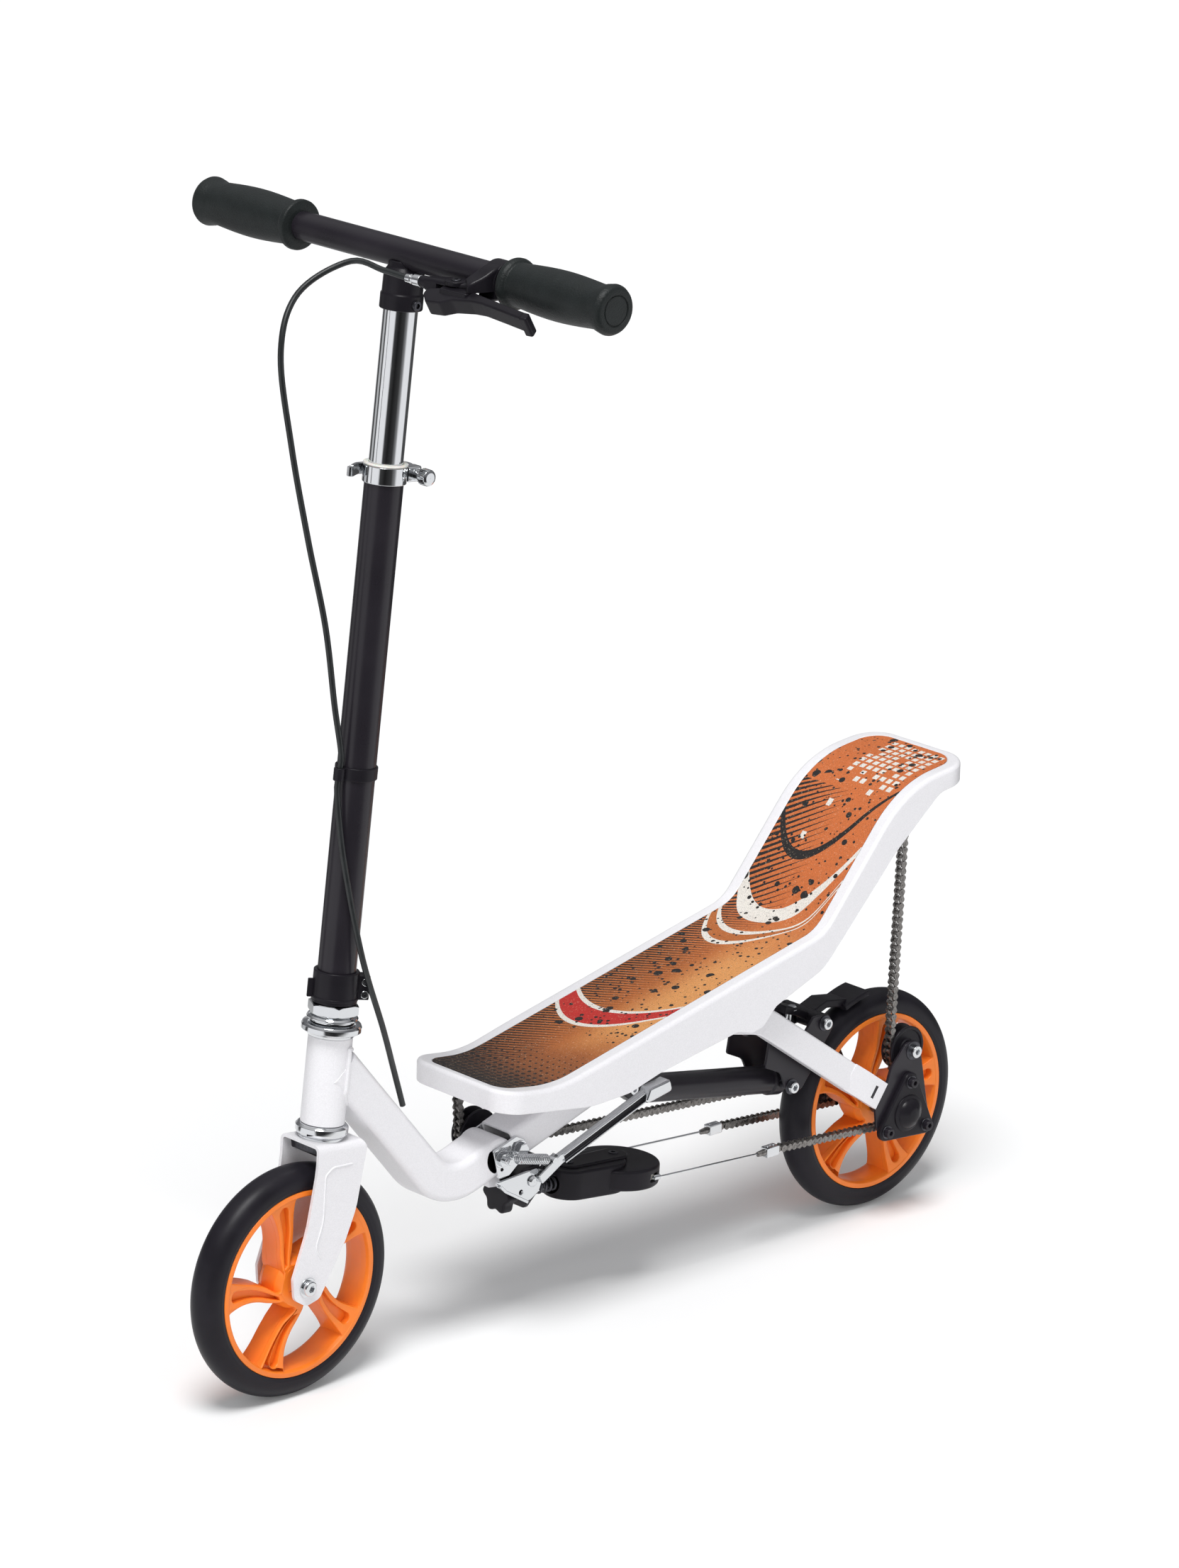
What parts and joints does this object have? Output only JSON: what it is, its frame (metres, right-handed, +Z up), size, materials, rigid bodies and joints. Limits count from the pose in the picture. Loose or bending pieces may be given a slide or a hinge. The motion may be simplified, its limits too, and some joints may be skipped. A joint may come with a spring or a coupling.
{
  "type": "kids pedal scooter",
  "caption": "Child scooter whose rocking deck pulls two chains that turn sprockets at the rear wheel, with a folding stem, a height-set handlebar and a hand-pulled rear brake",
  "frame": {"origin": "on the ground, midway between the wheel axles and in the middle of the width", "axes": "X points forward, Y to the rider's left, Z up"},
  "size_m": [0.875, 0.486, 0.9669],
  "materials": {
    "white_paint": "gloss white paint with fine pearl",
    "black_paint": "satin black paint",
    "black_plastic": "moulded matte black",
    "orange_plastic": "moulded orange",
    "tyre_rubber": "solid rubber",
    "grip_rubber": "ribbed rubber",
    "chrome": "plated",
    "dark_steel": "dark zinc plating",
    "chain_steel": "oiled steel",
    "white_plastic": "moulded",
    "grit_mat": "printed grip mat with fine grit",
    "cable_cover": "extruded plastic cover"
  },
  "bodies": {
    "rear_frame": {"rear_beam": "white_paint", "fold_bracket": "chrome", "hinge_bolt": "chrome", "latch_base": "black_paint", "under_tube": "black_paint", "brake_bracket": "black_paint", "stay_left": "white_paint", "stay_right": "white_paint", "hub_plate_left": "black_paint", "hub_plate_right": "black_paint", "rear_axle": "dark_steel", "idler_bolt": "chrome", "left_chain": "chain_steel", "left_chain_lower": "chain_steel", "right_chain": "chain_steel", "right_chain_lower": "chain_steel", "left_wire": "chain_steel", "right_wire": "chain_steel", "tension_spring": "dark_steel", "fold_spring": "chrome"},
    "deck": {"deck_shell": "white_paint", "deck_mat": "grit_mat", "deck_pivot_bolt": "dark_steel"},
    "front_frame": {"front_beam": "white_paint", "lower_cup": "black_paint", "upper_cup": "black_paint"},
    "steerer": {"fork": "white_paint", "front_axle": "chrome", "lock_nut": "chrome", "stem_clamp": "black_plastic", "stem_tube": "black_paint", "cable_strap": "black_plastic", "height_bush": "white_plastic", "height_collar": "black_plastic", "brake_cable_lower": "cable_cover"},
    "height_lever": {"quick_release_lever": "black_plastic"},
    "bar": {"inner_tube": "chrome", "t_block": "black_plastic", "handlebar": "black_paint", "lever_clamp": "black_plastic", "grip_left": "grip_rubber", "grip_right": "grip_rubber", "brake_cable_upper": "cable_cover"},
    "hand_lever": {"brake_lever": "black_paint"},
    "front_wheel": {"front_rim": "orange_plastic", "front_tyre": "tyre_rubber"},
    "rear_wheel": {"rear_rim": "orange_plastic", "rear_tyre": "tyre_rubber"},
    "left_sprocket": {"sprocket_left": "dark_steel"},
    "right_sprocket": {"sprocket_right": "dark_steel"},
    "idler": {"idler_pulley": "black_plastic"},
    "nose_pulley": {"front_pulley": "black_plastic"},
    "left_connector": {"connector_left": "dark_steel"},
    "right_connector": {"connector_right": "dark_steel"},
    "tensioner": {"tensioner_housing": "black_plastic"},
    "wire_pulley": {"cable_pulley": "white_plastic"},
    "adjuster": {"tension_knob": "black_plastic"},
    "rear_brake": {"brake_arm": "black_plastic"},
    "lock_lever": {"fold_lever": "chrome"}
  },
  "joints": [
    {"name": "stem_fold", "type": "hinge", "parent": "rear_frame", "child": "front_frame", "pos_m": [0.121, 0, 0.1592], "axis": [0, -1, 0], "range_deg": [0, 25]},
    {"name": "steer", "type": "hinge", "parent": "front_frame", "child": "steerer", "pos_m": [0.3164, 0, 0.1], "axis": [-0.1066, 0, 0.9943], "range_deg": [-60, 60], "deforming": ["brake_cable_lower"]},
    {"name": "bar_height", "type": "slide", "parent": "steerer", "child": "bar", "axis": [-0.1066, 0, 0.9943], "range_m": [-0.11, 0.02], "deforming": ["brake_cable_upper"]},
    {"name": "height_lock", "type": "hinge", "parent": "steerer", "child": "height_lever", "pos_m": [0.22081, -0.02, 0.76636], "axis": [0.1066, 0, -0.9943], "range_deg": [0, 100]},
    {"name": "brake_pull", "type": "hinge", "parent": "bar", "child": "hand_lever", "pos_m": [0.25, 0.086, 0.937], "axis": [0, 0, 1], "range_deg": [0, 9], "stiffness_Nm_per_rad": 1.5},
    {"name": "front_spin", "type": "hinge", "parent": "steerer", "child": "front_wheel", "pos_m": [0.3375, 0, 0.1], "axis": [0, 1, 0], "continuous": true},
    {"name": "rear_spin", "type": "hinge", "parent": "rear_frame", "child": "rear_wheel", "pos_m": [-0.3375, 0, 0.1], "axis": [0, 1, 0], "continuous": true},
    {"name": "rear_brake_press", "type": "hinge", "parent": "rear_frame", "child": "rear_brake", "pos_m": [-0.2575, 0, 0.1944], "axis": [0, -1, 0], "range_deg": [0, 1.7]},
    {"name": "lock_open", "type": "hinge", "parent": "rear_frame", "child": "lock_lever", "pos_m": [0.0886, 0, 0.1323], "axis": [0, -1, 0], "range_deg": [0, 17], "stiffness_Nm_per_rad": 0.5, "deforming": ["fold_spring"]},
    {"name": "deck_rock", "type": "hinge", "parent": "rear_frame", "child": "deck", "pos_m": [-0.11306, 0, 0.2349], "axis": [0, 1, 0], "range_deg": [-10, 8], "deforming": ["left_chain", "right_chain", "left_chain_lower", "right_chain_lower", "left_wire", "right_wire"]},
    {"name": "left_sprocket_turn", "type": "hinge", "parent": "rear_frame", "child": "left_sprocket", "pos_m": [-0.3375, 0, 0.1], "axis": [0, 1, 0], "range_deg": [-160, 160]},
    {"name": "right_sprocket_turn", "type": "hinge", "parent": "rear_frame", "child": "right_sprocket", "pos_m": [-0.3375, 0, 0.1], "axis": [0, 1, 0], "range_deg": [-160, 160]},
    {"name": "idler_turn", "type": "hinge", "parent": "rear_frame", "child": "idler", "pos_m": [-0.346, 0, 0.155], "axis": [0, 1, 0], "range_deg": [-135, 135]},
    {"name": "nose_pulley_turn", "type": "hinge", "parent": "rear_frame", "child": "nose_pulley", "pos_m": [0.1005, 0, 0.163], "axis": [0, 1, 0], "range_deg": [-135, 135]},
    {"name": "left_connector_travel", "type": "slide", "parent": "rear_frame", "child": "left_connector", "axis": [1, 0, 0], "range_m": [-0.042, 0.042]},
    {"name": "right_connector_travel", "type": "slide", "parent": "rear_frame", "child": "right_connector", "axis": [1, 0, 0], "range_m": [-0.042, 0.042]},
    {"name": "tensioner_slide", "type": "slide", "parent": "rear_frame", "child": "tensioner", "axis": [0.9971, 0, 0.0767], "range_m": [-0.003, 0.003], "stiffness_N_per_m": 8000, "deforming": ["tension_spring"]},
    {"name": "wire_pulley_turn", "type": "hinge", "parent": "tensioner", "child": "wire_pulley", "pos_m": [-0.033, 0, 0.1065], "axis": [-0.0767, 0, 0.9971], "range_deg": [-65, 65]},
    {"name": "adjuster_turn", "type": "hinge", "parent": "rear_frame", "child": "adjuster", "pos_m": [-0.033, 0, 0.1065], "axis": [0.9971, 0, 0.0767], "continuous": true}
  ],
  "couplings": [
    {"joint": "left_sprocket_turn", "follows": "deck_rock", "ratio": 15.839},
    {"joint": "right_sprocket_turn", "follows": "deck_rock", "ratio": -15.839},
    {"joint": "idler_turn", "follows": "deck_rock", "ratio": -13.294},
    {"joint": "nose_pulley_turn", "follows": "deck_rock", "ratio": 13.294},
    {"joint": "left_connector_travel", "follows": "deck_rock", "m_per_rad": -0.226},
    {"joint": "right_connector_travel", "follows": "deck_rock", "m_per_rad": 0.226},
    {"joint": "wire_pulley_turn", "follows": "deck_rock", "ratio": 6.3662},
    {"joint": "rear_brake_press", "follows": "brake_pull", "ratio": 0.18}
  ]
}
